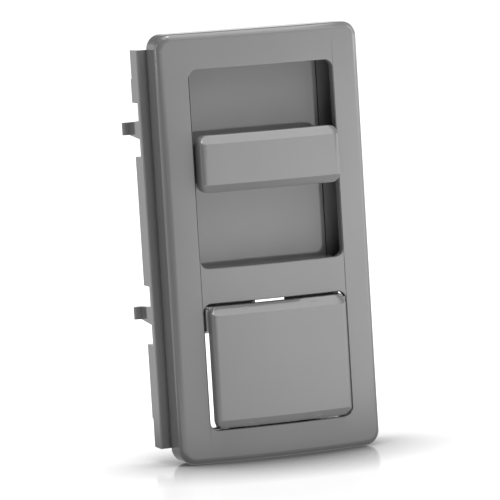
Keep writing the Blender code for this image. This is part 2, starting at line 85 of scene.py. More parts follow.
# Bezel
FACE_HALF_W = BEZEL_MAX[0]
FACE_HALF_H = BEZEL_MAX[2]
FACE_Y = BEZEL_MIN[1]
BOW_RADIUS = 85.0
FACE_CORNER = 2.3
FACE_ROUND = 1.0
FACE_THICK = 1.4
WALL = 1.5
BEZEL_REAR_Y = -3.8
LEDGE_REAR_Y = -5.1
LEDGE_THICK = 1.2
LEDGE_HALF_W = 10.3
LEDGE_ROOT = 0.5                # how far a ledge reaches into the face
OPEN_HALF_W = 11.7
WINDOW_LOW = -3.04
WINDOW_HIGH = 27.62
PAD_OPEN_LOW = -28.09
PAD_OPEN_HIGH = -8.49
OPEN_CORNER = 1.25
RIM_ROUND = 0.18                # front edges of the bezel's openings
RIM_TOLERANCE = 0.05            # how near to the bowed face an edge of a rim lies
CAP_ROUND = 0.15                # edges of the slide bar's and the pad's chamfers
CAP_ANGLE = 30.0
STAKE_X = 13.9
STAKE_HEIGHTS = (29.0, -5.8, -27.0)
STAKE_R = 0.9
STAKE_HEAD_R = 1.7
STAKE_SHANK_RISE = 0.5          # heights above the plate's rear
STAKE_HEAD_RISE = (0.3, 1.0)
STAKE_HEAD_ROUND = 0.3

# Carrier frame
PLATE_FRONT_Y = -3.5
PLATE_REAR_Y = -2.5
FLANGE_HALF_W = 18.07
FLANGE_HALF_H = CARRIER_MAX[2]
SKIRT_THICK = 1.0
END_STEP_Z = 26.5
END_STEP_Y = -0.4
NOTCHES = ((14.45, 22.8), (-14.83, -5.65))
NOTCH_FLOOR_Y = -2.6
NOTCH_CUT_X = (16.6, 19.0)
HOOK_CENTRES = (18.66, -10.18)
HOOK_ROOT_H = 2.84
HOOK_TIP_H = 1.95
HOOK_TIP_Y = CARRIER_MAX[1]
HOOK_BARB_Y = 2.55
HOOK_BARB_X = CARRIER_MAX[0]
HOOK_BARB_RAMP = 0.1            # the barb's outer side starts and ends this far behind its foot
HOOK_BARB_LAND = 0.4
HOOK_TIP_OUT = 0.4
HOOK_INNER_INSET = 0.03         # the hook stays inside the skirt's two sides
HOOK_OUTER_INSET = 0.02
HOOK_CUT_X = (16.0, 20.0)
SEAT_STEP = 0.1
SEAT_INNER_X = 16.8
SLOT_X = (13.6, 14.6)
SLOT_LOW = -1.7
SLOT_HIGH = 26.3
TRACK_WALL_X = (14.6, 15.3)
TRACK_LIP_X = 13.1
TRACK_LIP_FRONT_Y = -0.6
TRACK_LOW = -1.9
TRACK_HIGH = 26.5
SHELF_X = (10.95, 13.3)
SHELF_FRONT_Y = -4.3
SHELF_LOW = -4.5
SHELF_HIGH = 27.8
REAR_OPEN_LOW = -28.6
REAR_OPEN_HIGH = -8.45
REAR_OPEN_HALF_W = 11.95
SILL_HALF_W = 8.6
SILL_TOP = -28.1
RELIEF_HALF_W = 14.4
RELIEF_LOW = -10.05
STAKE_HOLE_R = 1.25
REAR_CUT_Y = (-5.0, 1.0)
HOLE_CUT_Y = (-5.0, 0.0)
CUT_HALF_W = 20.0

# Track panel
PANEL_EDGE = 0.12
PANEL_ROUND = 0.08
PANEL_REAR_Y = -3.8
PEG_X = 6.0
PEG_HEIGHTS = (29.05, -4.75)
PEG_R = 0.7
PEG_HOLE_R = 1.0

# Slide bar
BAR_REAR_Y = -9.0
BAR_CHAMFER = 1.27
BAR_ROUND = 0.67
BAR_CORNER = 1.2
BAR_WALL = 1.0
LEG_X = (10.93, 11.33)
BAR_HALF_W = 11.4
LEG_HALF_H = 3.0
LEG_ROUND = 0.06
BARB_OUTER_X = BAR_MAX[0]
BARB_FRONT_Y = -6.0
BARB_HALF_H = 2.0
BARB_INSET = 0.1                # the barb starts inside the leg and ends short of its tip
BARB_REAR_GAP = 0.05
CARRIAGE_FRONT_Y = -2.2
CARRIAGE_REAR_Y = -0.9
ARM_X = (13.9, CARRIAGE_MAX[0])
TOE_INNER_X = 11.75
TOE_REAR_Y = -6.3
FORK_X = (1.2, 2.6)
FORK_HALF_H = 2.0
CARRIAGE_ROUND = 0.1

# Rocker pad
PAD_HALF_W = 11.1
PAD_TOP = -8.9
PAD_REAR_Y = -9.3
PAD_CHAMFER = 1.3
PAD_ROUND = 0.7
PAD_WALL = 1.0
PAD_CORNER = 1.2
CAP_SKIN = 1.3                  # front wall of the pad and of the slide bar
TAB_X = (2.4, 9.35)
TAB_FRONT_Y = -7.95
TAB_THICK = 1.0
TAB_BEVEL = 1.05
SHOULDER_X = 11.2
SHOULDER_FRONT_Y = -7.65
TAB_ROOT_X = (TAB_X[0] + TAB_BEVEL + 0.15, SHOULDER_X - 0.2)
TAB_ROOT_GAP = 0.05
TAB_BITE = 0.1
TAB_ROUND = 0.08                # edges of the tabs and the ears
ROOT_BITE = 0.6                 # how far lips and roots reach into the pad's wall
LIP_HALF_W = 9.8
LIP_REAR_Y = -6.2
LIP_ROUND = 0.12
PIVOT_Y = (PIN_MIN[1] + PIN_MAX[1]) / 2
PIVOT_Z = (PIN_MIN[2] + PIN_MAX[2]) / 2
EAR_X = (10.05, PAD_MAX[0])
EAR_R = 1.4
EAR_TOP = -9.3
EAR_FRONT_Y = -9.7
EAR_LOW_FRONT = -12.5
EAR_LOW = -13.2
EAR_LOW_AHEAD = 1.0             # its low corner, in front of the pin
EAR_TOP_DROP = 0.5
EAR_CUT_X = (9.9, 11.7)
BEARING_X = (11.8, 13.3)
BEARING_R = 1.1
PIN_HOLE_R = 0.75
BEARING_CUT_X = (11.0, 14.0)
PIN_ROUND = 0.15
POST_Z = -21.0
POST_R = 1.8
POST_ROUND = 0.25
RIB_THICK = 0.9
RIB_REAR_Y = -9.6
RIB_ROOT = 0.9                  # where ribs start, behind the pad's front
RIB_INSET = 0.5                 # their ends, inside the pad's outline
RIB_STEP = 0.1                  # between ribs, skin and bosses, so that no two faces lie together
HIDDEN_INSET = 0.02             # the same for lips and roots inside the pad's wall
SPRING_X = 5.5
SPRING_THICK = 0.25
SPRING_HALF_W = 1.5
SPRING_FOOT_Y = -3.93
SPRING_FOOT_LOW = -30.6
SPRING_FOOT_HIGH = -28.9
SPRING_TIP_Y = -5.85
SPRING_TIP_Z = -23.6
SPRING_CURL = (0.25, 0.8)       # from the tip to the leaf's end, along Y and Z
SPRING_ROUND = 0.03
SPRING_CUT_Y = (-5.0, -3.0)
STUD_R = 0.5
STUD_HOLE_R = 0.8
STUD_Z = -29.8
STUD_FRONT_Y = -4.7
BOSS_HALF_W = 1.2
BOSS_HALF_H = 0.8
BOSS_REAR_Y = -6.35
BOSS_ROUND = 0.15

ARC_STEPS = 8
FLAT_STEPS = 36
ROUND_STEPS = 8
CIRCLE_STEPS = 40
NOSE_STEPS = 20
SPRING_STEPS = 30
BITE = 0.25                     # how far a joined block reaches into the one that it joins
PAST = 1.0                      # how far a cutter, or a block that is trimmed later, reaches past a surface
EDGE_ROUND = 0.12               # edges of the carrier
SHARP_ANGLE = 40.0              # edges turned by more degrees than this are rounded
SPRING_ANGLE = 50.0
SHADE_ANGLE = 35.0              # and edges turned by more than this are shaded as creases
WELD_GAP = 0.0005               # points nearer than this are joined
SLIVER = 0.0002                 # and edges shorter than this are dissolved


# ---------------------------------------------------------------- camera

AIM = Vector((-3.875, FACE_Y, -0.662)) * MM
AZIMUTH = math.radians(-19.475)
ELEVATION = math.radians(5.623)
ROLL = math.radians(-3.53)
DISTANCE = 0.6
LENS = 280.7


def make_camera():
    """Long lens from the front left, a little above, with a slight roll."""
    level = math.cos(ELEVATION)
    back = Vector((math.sin(AZIMUTH) * level, -math.cos(AZIMUTH) * level, math.sin(ELEVATION)))
    right = Vector((math.cos(AZIMUTH), math.sin(AZIMUTH), 0.0))
    up = back.cross(right)
    across = right * math.cos(ROLL) + up * math.sin(ROLL)
    upward = up * math.cos(ROLL) - right * math.sin(ROLL)
    data = bpy.data.cameras.new("camera")
    data.lens = LENS
    data.sensor_width = 36.0
    data.clip_start = 0.05
    data.clip_end = 50.0
    camera = bpy.data.objects.new("camera", data)
    turn = Matrix((across, upward, back)).transposed().to_4x4()
    camera.matrix_world = Matrix.Translation(AIM + back * DISTANCE) @ turn
    bpy.context.scene.collection.objects.link(camera)
    bpy.context.scene.camera = camera


# ---------------------------------------------------------------- materials

PLASTIC_GREY = (0.15, 0.15, 0.152)
PLASTIC_ROUGHNESS = 0.075


class Nodes:
    """Short names for building a node material."""

    def __init__(self, name):
        self.material = bpy.data.materials.new(name)
        self.material.use_nodes = True
        self.tree = self.material.node_tree
        self.shader = self.tree.nodes["Principled BSDF"]
        place = self.tree.nodes.new("ShaderNodeTexCoord")
        self.place = place.outputs["Object"]

    def link(self, output, node, socket):
        """Join an output to an input of a node."""
        self.tree.links.new(output, node.inputs[socket])

    def noise(self, scale, detail, stretch=None):
        """Noise in object space, stretched along the axes if asked."""
        node = self.tree.nodes.new("ShaderNodeTexNoise")
        node.inputs["Scale"].default_value = scale
        node.inputs["Detail"].default_value = detail
        source = self.place
        if stretch:
            mapping = self.tree.nodes.new("ShaderNodeMapping")
            mapping.inputs["Scale"].default_value = stretch
            self.link(self.place, mapping, "Vector")
            source = mapping.outputs["Vector"]
        self.link(source, node, "Vector")
        return node.outputs["Fac"]

    def ramp(self, value, low, high):
        """Spread the middle half of a noise over the levels from low to high."""
        node = self.tree.nodes.new("ShaderNodeMapRange")
        node.inputs["From Min"].default_value = 0.25
        node.inputs["From Max"].default_value = 0.75
        node.inputs["To Min"].default_value = low
        node.inputs["To Max"].default_value = high
        self.link(value, node, "Value")
        return node.outputs["Result"]

    def mix(self, value, first, second):
        """Colour between two colours."""
        node = self.tree.nodes.new("ShaderNodeMix")
        node.data_type = "RGBA"
        node.inputs["A"].default_value = (*first, 1.0)
        node.inputs["B"].default_value = (*second, 1.0)
        self.link(value, node, "Factor")
        return node.outputs["Result"]

    def calculate(self, operation, first, second):
        """Result of a Math node; each operand is a number or another node's output."""
        node = self.tree.nodes.new("ShaderNodeMath")
        node.operation = operation
        for socket, operand in enumerate((first, second)):
            if isinstance(operand, (int, float)):
                node.inputs[socket].default_value = operand
            else:
                self.link(operand, node, socket)
        return node.outputs["Value"]

    def bump(self, value, strength, distance, below=None):
        """Normal bent by a height, on top of another bump if one is given."""
        node = self.tree.nodes.new("ShaderNodeBump")
        node.inputs["Strength"].default_value = strength
        node.inputs["Distance"].default_value = distance
        self.link(value, node, "Height")
        if below:
            self.link(below, node, "Normal")
        return node.outputs["Normal"]


def moulded_plastic(name, grey, roughness):
    """Glossy moulded plastic: faint flow mottling, a slightly uneven gloss and a very fine grain."""
    made = Nodes(name)
    mottle = made.ramp(made.noise(90.0, 4.0), 0.0, 1.0)
    darker = [value * 0.97 for value in grey]
    lighter = [value * 1.03 for value in grey]
    made.link(made.mix(mottle, darker, lighter), made.shader, "Base Color")
    gloss = made.ramp(made.noise(260.0, 3.0), roughness - 0.025, roughness + 0.025)
    made.link(gloss, made.shader, "Roughness")
    swell = made.bump(made.noise(320.0, 2.0), 0.05, 0.00002)
    grain = made.bump(made.noise(5200.0, 2.0), 0.08, 0.000004, swell)
    made.link(grain, made.shader, "Normal")
    made.shader.inputs["IOR"].default_value = 1.5
    return made.material


def spring_steel(name):
    """Rolled steel with fine scratches along the strip."""
    made = Nodes(name)
    streak = made.noise(900.0, 4.0, (6.0, 1.0, 0.4))
    tone = made.mix(made.ramp(streak, 0.0, 1.0), (0.52, 0.52, 0.51), (0.68, 0.68, 0.66))
    made.link(tone, made.shader, "Base Color")
    made.link(made.ramp(streak, 0.24, 0.38), made.shader, "Roughness")
    made.link(made.bump(streak, 0.15, 0.00001), made.shader, "Normal")
    made.shader.inputs["Metallic"].default_value = 1.0
    return made.material


# ---------------------------------------------------------------- shapes

def bow(x):
    """Depth of the bowed face behind its foremost line."""
    return BOW_RADIUS - math.sqrt(BOW_RADIUS ** 2 - x * x)


def new_object(name, shape):
    """Make an object of a bmesh in millimetres."""
    bmesh.ops.recalc_face_normals(shape, faces=shape.faces)
    mesh = bpy.data.meshes.new(name)
    shape.to_mesh(mesh)
    shape.free()
    item = bpy.data.objects.new(name, mesh)
    bpy.context.scene.collection.objects.link(item)
    return item


def box(x, y, z):
    """Block between two limits along each axis."""
    shape = bmesh.new()
    bmesh.ops.create_cube(shape, size=1.0)
    size = [pair[1] - pair[0] for pair in (x, y, z)]
    middle = [(pair[1] + pair[0]) / 2 for pair in (x, y, z)]
    bmesh.ops.scale(shape, vec=size, verts=shape.verts)
    bmesh.ops.translate(shape, vec=middle, verts=shape.verts)
    return new_object("block", shape)


def prism(outline, axis, span):
    """Extrude an outline along an axis; its two coordinates are the other axes, in X, Y, Z order."""
    place = {
        "X": lambda a, b: (span[0], a, b),
        "Y": lambda a, b: (a, span[0], b),
        "Z": lambda a, b: (a, b, span[0]),
    }[axis]
    step = [span[1] - span[0] if name == axis else 0.0 for name in "XYZ"]
    shape = bmesh.new()
    face = shape.faces.new([shape.verts.new(place(a, b)) for a, b in outline])
    extruded = bmesh.ops.extrude_face_region(shape, geom=[face])
    moved = [item for item in extruded["geom"] if isinstance(item, bmesh.types.BMVert)]
    bmesh.ops.translate(shape, vec=step, verts=moved)
    return new_object("prism", shape)


def arc(centre, radius, first, last, steps):
    """Points of an arc, angles in degrees."""
    points = []
    for step in range(steps + 1):
        angle = math.radians(first + (last - first) * step / steps)
        points.append((centre[0] + radius * math.cos(angle), centre[1] + radius * math.sin(angle)))
    return points


def rod(axis, centre, span, radius):
    """Round rod along an axis."""
    return prism(arc(centre, radius, 0, 360, CIRCLE_STEPS)[:-1], axis, span)


def rounded_chain(half_w, radius):
    """Upper half of a rounded rectangle, left to right, as x and the drop below its top edge."""
    left = [(-half_w + radius - radius * math.cos(angle), radius - radius * math.sin(angle))
            for angle in (math.pi / 2 * step / ARC_STEPS for step in range(ARC_STEPS + 1))]
    inner = half_w - radius
    flat = [(-inner + 2 * inner * step / FLAT_STEPS, 0.0) for step in range(1, FLAT_STEPS)]
    right = [(-x, drop) for x, drop in reversed(left)]
    return left + flat + right


def bowed_block(half_w, low, high, corner, layers, rear_y, front_y):
    """Block with a bowed front; layers are (side inset, end inset, depth) from the front back."""
    shape = bmesh.new()
    rings = []
    for side, end, depth in layers:
        chain = rounded_chain(half_w - side, max(corner - max(side, end), 0.25))
        rings.append([(x, front_y + bow(x) + depth, high - end - drop) for x, drop in chain]
                     + [(x, front_y + bow(x) + depth, low + end + drop) for x, drop in reversed(chain)])
    chain = rounded_chain(half_w, corner)
    rings.append([(x, rear_y, high - drop) for x, drop in chain]
                 + [(x, rear_y, low + drop) for x, drop in reversed(chain)])
    loops = [[shape.verts.new(point) for point in ring] for ring in rings]
    count = len(loops[0])
    for near, far in zip(loops, loops[1:]):
        for step in range(count):
            after = (step + 1) % count
            shape.faces.new((near[step], near[after], far[after], far[step]))
    front = loops[0]
    for step in range(count // 2 - 1):
        opposite = count - 1 - step
        shape.faces.new((front[step], front[step + 1], front[opposite - 1], front[opposite]))
    shape.faces.new(loops[-1])
    return new_object("bowed_block", shape)


def round_layers(radius):
    """Layers of a front edge rounded by the same radius on all four sides."""
    layers = []
    for step in range(ROUND_STEPS + 1):
        angle = math.pi / 2 * step / ROUND_STEPS
        inset = radius * (1 - math.sin(angle))
        layers.append((inset, inset, radius * (1 - math.cos(angle))))
    return layers


def chamfer_layers(radius, chamfer):
    """Layers of a front with rounded sides and a straight chamfer along its top and bottom."""
    layers = []
    for step in range(ROUND_STEPS + 1):
        angle = math.pi / 2 * step / ROUND_STEPS
        depth = radius * (1 - math.cos(angle))
        layers.append((radius * (1 - math.sin(angle)), chamfer - depth, depth))
    layers.append((0.0, 0.0, chamfer))
    return layers


def rounded_opening(low, high, span):
    """Cutter for an opening with rounded corners, through the face."""
    chain = rounded_chain(OPEN_HALF_W, OPEN_CORNER)
    outline = [(x, high - drop) for x, drop in chain]
    outline += [(x, low + drop) for x, drop in reversed(chain)]
    return prism(outline, "Y", span)


def bake(item):
    """Replace an object's mesh by its evaluated mesh."""
    evaluated = item.evaluated_get(bpy.context.evaluated_depsgraph_get())
    mesh = bpy.data.meshes.new_from_object(evaluated)
    item.modifiers.clear()
    item.data = mesh


def combine(item, tools, operation):
    """Apply a Boolean with each tool, then remove the tools."""
    for tool in tools:
        modifier = item.modifiers.new("combine", "BOOLEAN")
        modifier.solver = "EXACT"
        modifier.operation = operation
        modifier.object = tool
        bake(item)
        bpy.data.objects.remove(tool)


def add(item, *tools):
    """Join the tools to the item."""
    combine(item, tools, "UNION")


def cut(item, *tools):
    """Cut the tools out of the item."""
    combine(item, tools, "DIFFERENCE")


def soften(item, width, angle=SHARP_ANGLE, segments=3):
    """Round the sharp edges of a moulding."""
    modifier = item.modifiers.new("edges", "BEVEL")
    modifier.width = width
    modifier.segments = segments
    modifier.limit_method = "ANGLE"
    modifier.angle_limit = math.radians(angle)
    modifier.use_clamp_overlap = True
    modifier.miter_outer = "MITER_ARC"
    bake(item)


def soften_rims(item, width, segments=3):
    """Round the front edges of the bezel's openings, which are the sharp ones on the bowed face."""
    shape = bmesh.new()
    shape.from_mesh(item.data)
    sharp = [edge for edge in shape.edges
             if len(edge.link_faces) == 2 and edge.calc_face_angle() > math.radians(SHARP_ANGLE)
             and all(abs(end.co.y - FACE_Y - bow(end.co.x)) < RIM_TOLERANCE for end in edge.verts)]
    bmesh.ops.bevel(shape, geom=sharp, offset=width, segments=segments, profile=0.5,
                    affect="EDGES", clamp_overlap=True)
    shape.to_mesh(item.data)
    shape.free()


def finish_piece(item, name, material, body, nodes):
    """Weld, scale to metres, shade, and tie the piece to its CAD body, if it rides on one."""
    shape = bmesh.new()
    shape.from_mesh(item.data)
    bmesh.ops.remove_doubles(shape, verts=shape.verts, dist=WELD_GAP)
    bmesh.ops.dissolve_degenerate(shape, edges=shape.edges, dist=SLIVER)
    bmesh.ops.recalc_face_normals(shape, faces=shape.faces)
    bmesh.ops.scale(shape, vec=(MM, MM, MM), verts=shape.verts)
    mesh = bpy.data.meshes.new(name)
    shape.to_mesh(mesh)
    shape.free()
    mesh.materials.append(material)
    mesh.shade_smooth()
    mesh.set_sharp_from_angle(angle=math.radians(SHADE_ANGLE))
    item.data = mesh
    item.name = name
    weigh = item.modifiers.new("normals", "WEIGHTED_NORMAL")
    weigh.keep_sharp = True
    weigh.weight = 80
    if body:
        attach(item, body)
    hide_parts(*nodes)
    return item


def mirrored(span, side):
    """Limits along X for the right side (1) or the left side (-1)."""
    return (span[0], span[1]) if side > 0 else (-span[1], -span[0])


# ---------------------------------------------------------------- pieces

def make_bezel(material):
    """Bowed front shell with two openings, ledges for the panel and six heat stakes."""
    bezel = bowed_block(FACE_HALF_W, -FACE_HALF_H, FACE_HALF_H, FACE_CORNER,
                        round_layers(FACE_ROUND), BEZEL_REAR_Y, FACE_Y)
    cavity = bowed_block(FACE_HALF_W - WALL, -FACE_HALF_H + WALL, FACE_HALF_H - WALL,
                         FACE_CORNER - FACE_ROUND, [(0.0, 0.0, 0.0)], BEZEL_REAR_Y + PAST,
                         FACE_Y + FACE_THICK)
    cut(bezel, cavity)
    for low, high in ((WINDOW_HIGH - PAST, WINDOW_HIGH + LEDGE_THICK),
                      (WINDOW_LOW - LEDGE_THICK, WINDOW_LOW + PAST)):
        add(bezel, box((-LEDGE_HALF_W, LEDGE_HALF_W), (FACE_Y + FACE_THICK - LEDGE_ROOT, LEDGE_REAR_Y),
                       (low, high)))
    through = (FACE_Y - 2 * PAST, BEZEL_REAR_Y + 2 * PAST)
    cut(bezel, rounded_opening(WINDOW_LOW, WINDOW_HIGH, through),
        rounded_opening(PAD_OPEN_LOW, PAD_OPEN_HIGH, through))
    for height in STAKE_HEIGHTS:
        for side in (1, -1):
            centre = (side * STAKE_X, height)
            shank = rod("Y", centre, (FACE_Y + FACE_THICK, PLATE_REAR_Y + STAKE_SHANK_RISE), STAKE_R)
            head = rod("Y", centre, [PLATE_REAR_Y + rise for rise in STAKE_HEAD_RISE], STAKE_HEAD_R)
            soften(head, STAKE_HEAD_ROUND)
            add(bezel, shank, head)
    soften_rims(bezel, RIM_ROUND)
    return finish_piece(bezel, "bezel_shell", material, "frame", ["bezel"])


def hook(side, height):
    """Snap hook: a tapering arm along +Y with a barb on its outer side."""
    inner = FLANGE_HALF_W - SKIRT_THICK + HOOK_INNER_INSET
    outer = FLANGE_HALF_W - HOOK_OUTER_INSET
    outline = [(inner, PLATE_REAR_Y - BITE), (outer, PLATE_REAR_Y - BITE), (outer, HOOK_BARB_Y),
               (HOOK_BARB_X, HOOK_BARB_Y + HOOK_BARB_RAMP), (HOOK_BARB_X, HOOK_BARB_Y + HOOK_BARB_LAND),
               (outer + HOOK_TIP_OUT, HOOK_TIP_Y), (inner, HOOK_TIP_Y)]
    outline = [(side * x, y) for x, y in outline]
    half = HOOK_ROOT_H / 2
    arm = prism(outline, "Z", (height - half, height + half))
    taper = (HOOK_ROOT_H - HOOK_TIP_H) / 2
    for end in (1, -1):
        edge = height + end * half
        narrow = edge - end * taper
        wedge = [(PLATE_REAR_Y, edge), (HOOK_BARB_Y, narrow), (HOOK_TIP_Y + PAST, narrow),
                 (HOOK_TIP_Y + PAST, edge + end * PAST), (PLATE_REAR_Y, edge + end * PAST)]
        cut(arm, prism(wedge, "X", mirrored(HOOK_CUT_X, side)))
    return arm


def bearing_outline():
    """Bearing of the hinge pin: a round nose that runs back to the carrier's plate."""
    nose = arc((PIVOT_Y, PIVOT_Z), BEARING_R, 90, 270, NOSE_STEPS)
    root_y = PLATE_FRONT_Y + BITE
    return nose + [(root_y, PIVOT_Z - BEARING_R), (root_y, PIVOT_Z + BEARING_R)]


def track(side):
    """Track behind the plate: a side wall and a lip that holds the carriage in."""
    outer = TRACK_WALL_X[1]
    root_y = PLATE_REAR_Y - BITE
    outline = [(TRACK_WALL_X[0], root_y), (outer, root_y), (outer, 0.0), (TRACK_LIP_X, 0.0),
               (TRACK_LIP_X, TRACK_LIP_FRONT_Y), (TRACK_WALL_X[0], TRACK_LIP_FRONT_Y)]
    return prism([(side * x, y) for x, y in outline], "Z", (TRACK_LOW, TRACK_HIGH))


def make_carrier(material):
    """Rear moulding: plate, skirts, snap hooks, tracks, shelves, bearings and spring studs."""
    skirt_inner = FLANGE_HALF_W - SKIRT_THICK
    channel = [(-FLANGE_HALF_W, PLATE_FRONT_Y), (FLANGE_HALF_W, PLATE_FRONT_Y), (FLANGE_HALF_W, 0.0),
               (skirt_inner, 0.0), (skirt_inner, PLATE_REAR_Y), (-skirt_inner, PLATE_REAR_Y),
               (-skirt_inner, 0.0), (-FLANGE_HALF_W, 0.0)]
    carrier = prism(channel, "Z", (-FLANGE_HALF_H, FLANGE_HALF_H))
    cut(carrier, box((-SEAT_INNER_X, SEAT_INNER_X), (PLATE_FRONT_Y - PAST, PLATE_FRONT_Y + SEAT_STEP),
                     (-FLANGE_HALF_H - PAST, FLANGE_HALF_H + PAST)))
    for end in (1, -1):
        reach = sorted((end * END_STEP_Z, end * (FLANGE_HALF_H + PAST)))
        cut(carrier, box((-CUT_HALF_W, CUT_HALF_W), (END_STEP_Y, PAST), reach))
    for side in (1, -1):
        for low, high in NOTCHES:
            cut(carrier, box(mirrored(NOTCH_CUT_X, side), (NOTCH_FLOOR_Y, PAST), (low, high)))
        for height in HOOK_CENTRES:
            add(carrier, hook(side, height))
        add(carrier, track(side))
        add(carrier, box(mirrored(SHELF_X, side), (SHELF_FRONT_Y, PLATE_FRONT_Y + SEAT_STEP + BITE),
                         (SHELF_LOW, SHELF_HIGH)))
        cut(carrier, box(mirrored(SLOT_X, side), (PLATE_FRONT_Y - PAST, PLATE_REAR_Y + BITE),
                         (SLOT_LOW, SLOT_HIGH)))
    cut(carrier, box((-REAR_OPEN_HALF_W, REAR_OPEN_HALF_W), REAR_CUT_Y,
                     (REAR_OPEN_LOW, REAR_OPEN_HIGH)))
    add(carrier, box((-SILL_HALF_W, SILL_HALF_W), (PLATE_FRONT_Y + SEAT_STEP, PLATE_REAR_Y),
                     (REAR_OPEN_LOW - PAST, SILL_TOP)))
    cut(carrier, box((-RELIEF_HALF_W, RELIEF_HALF_W), REAR_CUT_Y, (RELIEF_LOW, REAR_OPEN_HIGH)))
    for side in (1, -1):
        add(carrier, prism(bearing_outline(), "X", mirrored(BEARING_X, side)))
        cut(carrier, rod("X", (PIVOT_Y, PIVOT_Z), mirrored(BEARING_CUT_X, side), PIN_HOLE_R))
        for height in STAKE_HEIGHTS:
            cut(carrier, rod("Y", (side * STAKE_X, height), HOLE_CUT_Y, STAKE_HOLE_R))
        for height in PEG_HEIGHTS:
            cut(carrier, rod("Y", (side * PEG_X, height), HOLE_CUT_Y, PEG_HOLE_R))
        add(carrier, rod("Y", (side * SPRING_X, STUD_Z), (STUD_FRONT_Y, PLATE_REAR_Y - BITE), STUD_R))
    soften(carrier, EDGE_ROUND, segments=2)
    return finish_piece(carrier, "carrier_moulding", material, "frame", ["carrier_frame"])


def make_panel(material):
    """Flat panel behind the slide window, with four pegs."""
    half_w = PANEL_MAX[0]
    front = PANEL_MIN[1]
    outline = [(-half_w, PANEL_REAR_Y)]
    outline += arc((-half_w + PANEL_EDGE, front + PANEL_EDGE), PANEL_EDGE, 180, 270, ARC_STEPS)
    outline += arc((half_w - PANEL_EDGE, front + PANEL_EDGE), PANEL_EDGE, 270, 360, ARC_STEPS)
    outline += [(half_w, PANEL_REAR_Y)]
    panel = prism(outline, "Z", (PANEL_MIN[2], PANEL_MAX[2]))
    for side in (1, -1):
        for height in PEG_HEIGHTS:
            add(panel, rod("Y", (side * PEG_X, height), (PANEL_REAR_Y - BITE, PLATE_REAR_Y), PEG_R))
    soften(panel, PANEL_ROUND, segments=2)
    return finish_piece(panel, "track_panel_plate", material, "frame", ["track_panel"])


def make_slide_bar(material):
    """Hollow bar, chamfered along its top and bottom, with a barbed leg on each side."""
    middle = (CARRIAGE_MIN[2] + CARRIAGE_MAX[2]) / 2
    low = BAR_MIN[2]
    high = BAR_MAX[2]
    half_w = BAR_HALF_W
    front = BAR_MIN[1]
    bar = bowed_block(half_w, low, high, BAR_CORNER, chamfer_layers(BAR_ROUND, BAR_CHAMFER),
                      BAR_REAR_Y, front)
    hollow = bowed_block(half_w - BAR_WALL, low + BAR_WALL, high - BAR_WALL, BAR_CORNER / 2,
                         [(0.0, BAR_CHAMFER / 2, 0.0), (0.0, 0.0, BAR_CHAMFER / 2)],
                         BAR_REAR_Y + PAST, front + CAP_SKIN)
    cut(bar, hollow)
    soften(bar, CAP_ROUND, CAP_ANGLE)
    for side in (1, -1):
        leg = box(mirrored(LEG_X, side), (BAR_REAR_Y - PAST, BAR_MAX[1]),
                  (middle - LEG_HALF_H, middle + LEG_HALF_H))
        barb = box(mirrored((LEG_X[0] + BARB_INSET, BARB_OUTER_X), side),
                   (BARB_FRONT_Y, BAR_MAX[1] - BARB_REAR_GAP),
                   (middle - BARB_HALF_H, middle + BARB_HALF_H))
        add(leg, barb)
        soften(leg, LEG_ROUND, segments=2)
        add(bar, leg)
    return finish_piece(bar, "slide_bar_cap", material, "slider", ["slide_bar"])


def arm_outline(side):
    """Arm of the carriage in plan: forward through its slot, then a toe turned inwards."""
    root_y = CARRIAGE_FRONT_Y + BITE
    front = CARRIAGE_MIN[1]
    outline = [(ARM_X[0], root_y), (ARM_X[0], TOE_REAR_Y), (TOE_INNER_X, TOE_REAR_Y),
               (TOE_INNER_X, front), (ARM_X[1], front), (ARM_X[1], root_y)]
    return [(side * x, y) for x, y in outline]


def make_carriage(material):
    """Plate behind the carrier, with two arms for the bar and a fork for the dimmer's lever."""
    carriage = box((-CARRIAGE_MAX[0], CARRIAGE_MAX[0]), (CARRIAGE_FRONT_Y, CARRIAGE_REAR_Y),
                   (CARRIAGE_MIN[2], CARRIAGE_MAX[2]))
    middle = (CARRIAGE_MIN[2] + CARRIAGE_MAX[2]) / 2
    for side in (1, -1):
        add(carriage, prism(arm_outline(side), "Z", (middle - LEG_HALF_H, middle + LEG_HALF_H)))
        add(carriage, box(mirrored(FORK_X, side), (CARRIAGE_REAR_Y - BITE, CARRIAGE_MAX[1]),
                          (middle - FORK_HALF_H, middle + FORK_HALF_H)))
    soften(carriage, CARRIAGE_ROUND, segments=2)
    return finish_piece(carriage, "slide_carriage_plate", material, "slider", ["slide_carriage"])


def ear_outline():
    """Ear of the pad: slanted under its front, round about the pin, flat along its top."""
    nose = arc((PIVOT_Y, PIVOT_Z), EAR_R, -90, 0, NOSE_STEPS)
    return [(EAR_FRONT_Y, EAR_TOP), (EAR_FRONT_Y, EAR_LOW_FRONT), (PIVOT_Y - EAR_LOW_AHEAD, EAR_LOW),
            *nose, (PIVOT_Y + EAR_R, EAR_TOP + EAR_TOP_DROP - EAR_R / 2), (PIVOT_Y + EAR_R / 2, EAR_TOP)]


def tab_outline(side):
    """Top tab in plan: cut back at 45 degrees at its inner end and stepped back at its outer end."""
    rear = TAB_FRONT_Y + TAB_THICK
    outline = [(TAB_X[0], rear), (TAB_X[0], rear - TAB_THICK + TAB_BEVEL),
               (TAB_X[0] + TAB_BEVEL, TAB_FRONT_Y), (TAB_X[1], TAB_FRONT_Y),
               (TAB_X[1], SHOULDER_FRONT_Y), (SHOULDER_X, SHOULDER_FRONT_Y), (SHOULDER_X, rear)]
    return [(side * x, y) for x, y in outline]


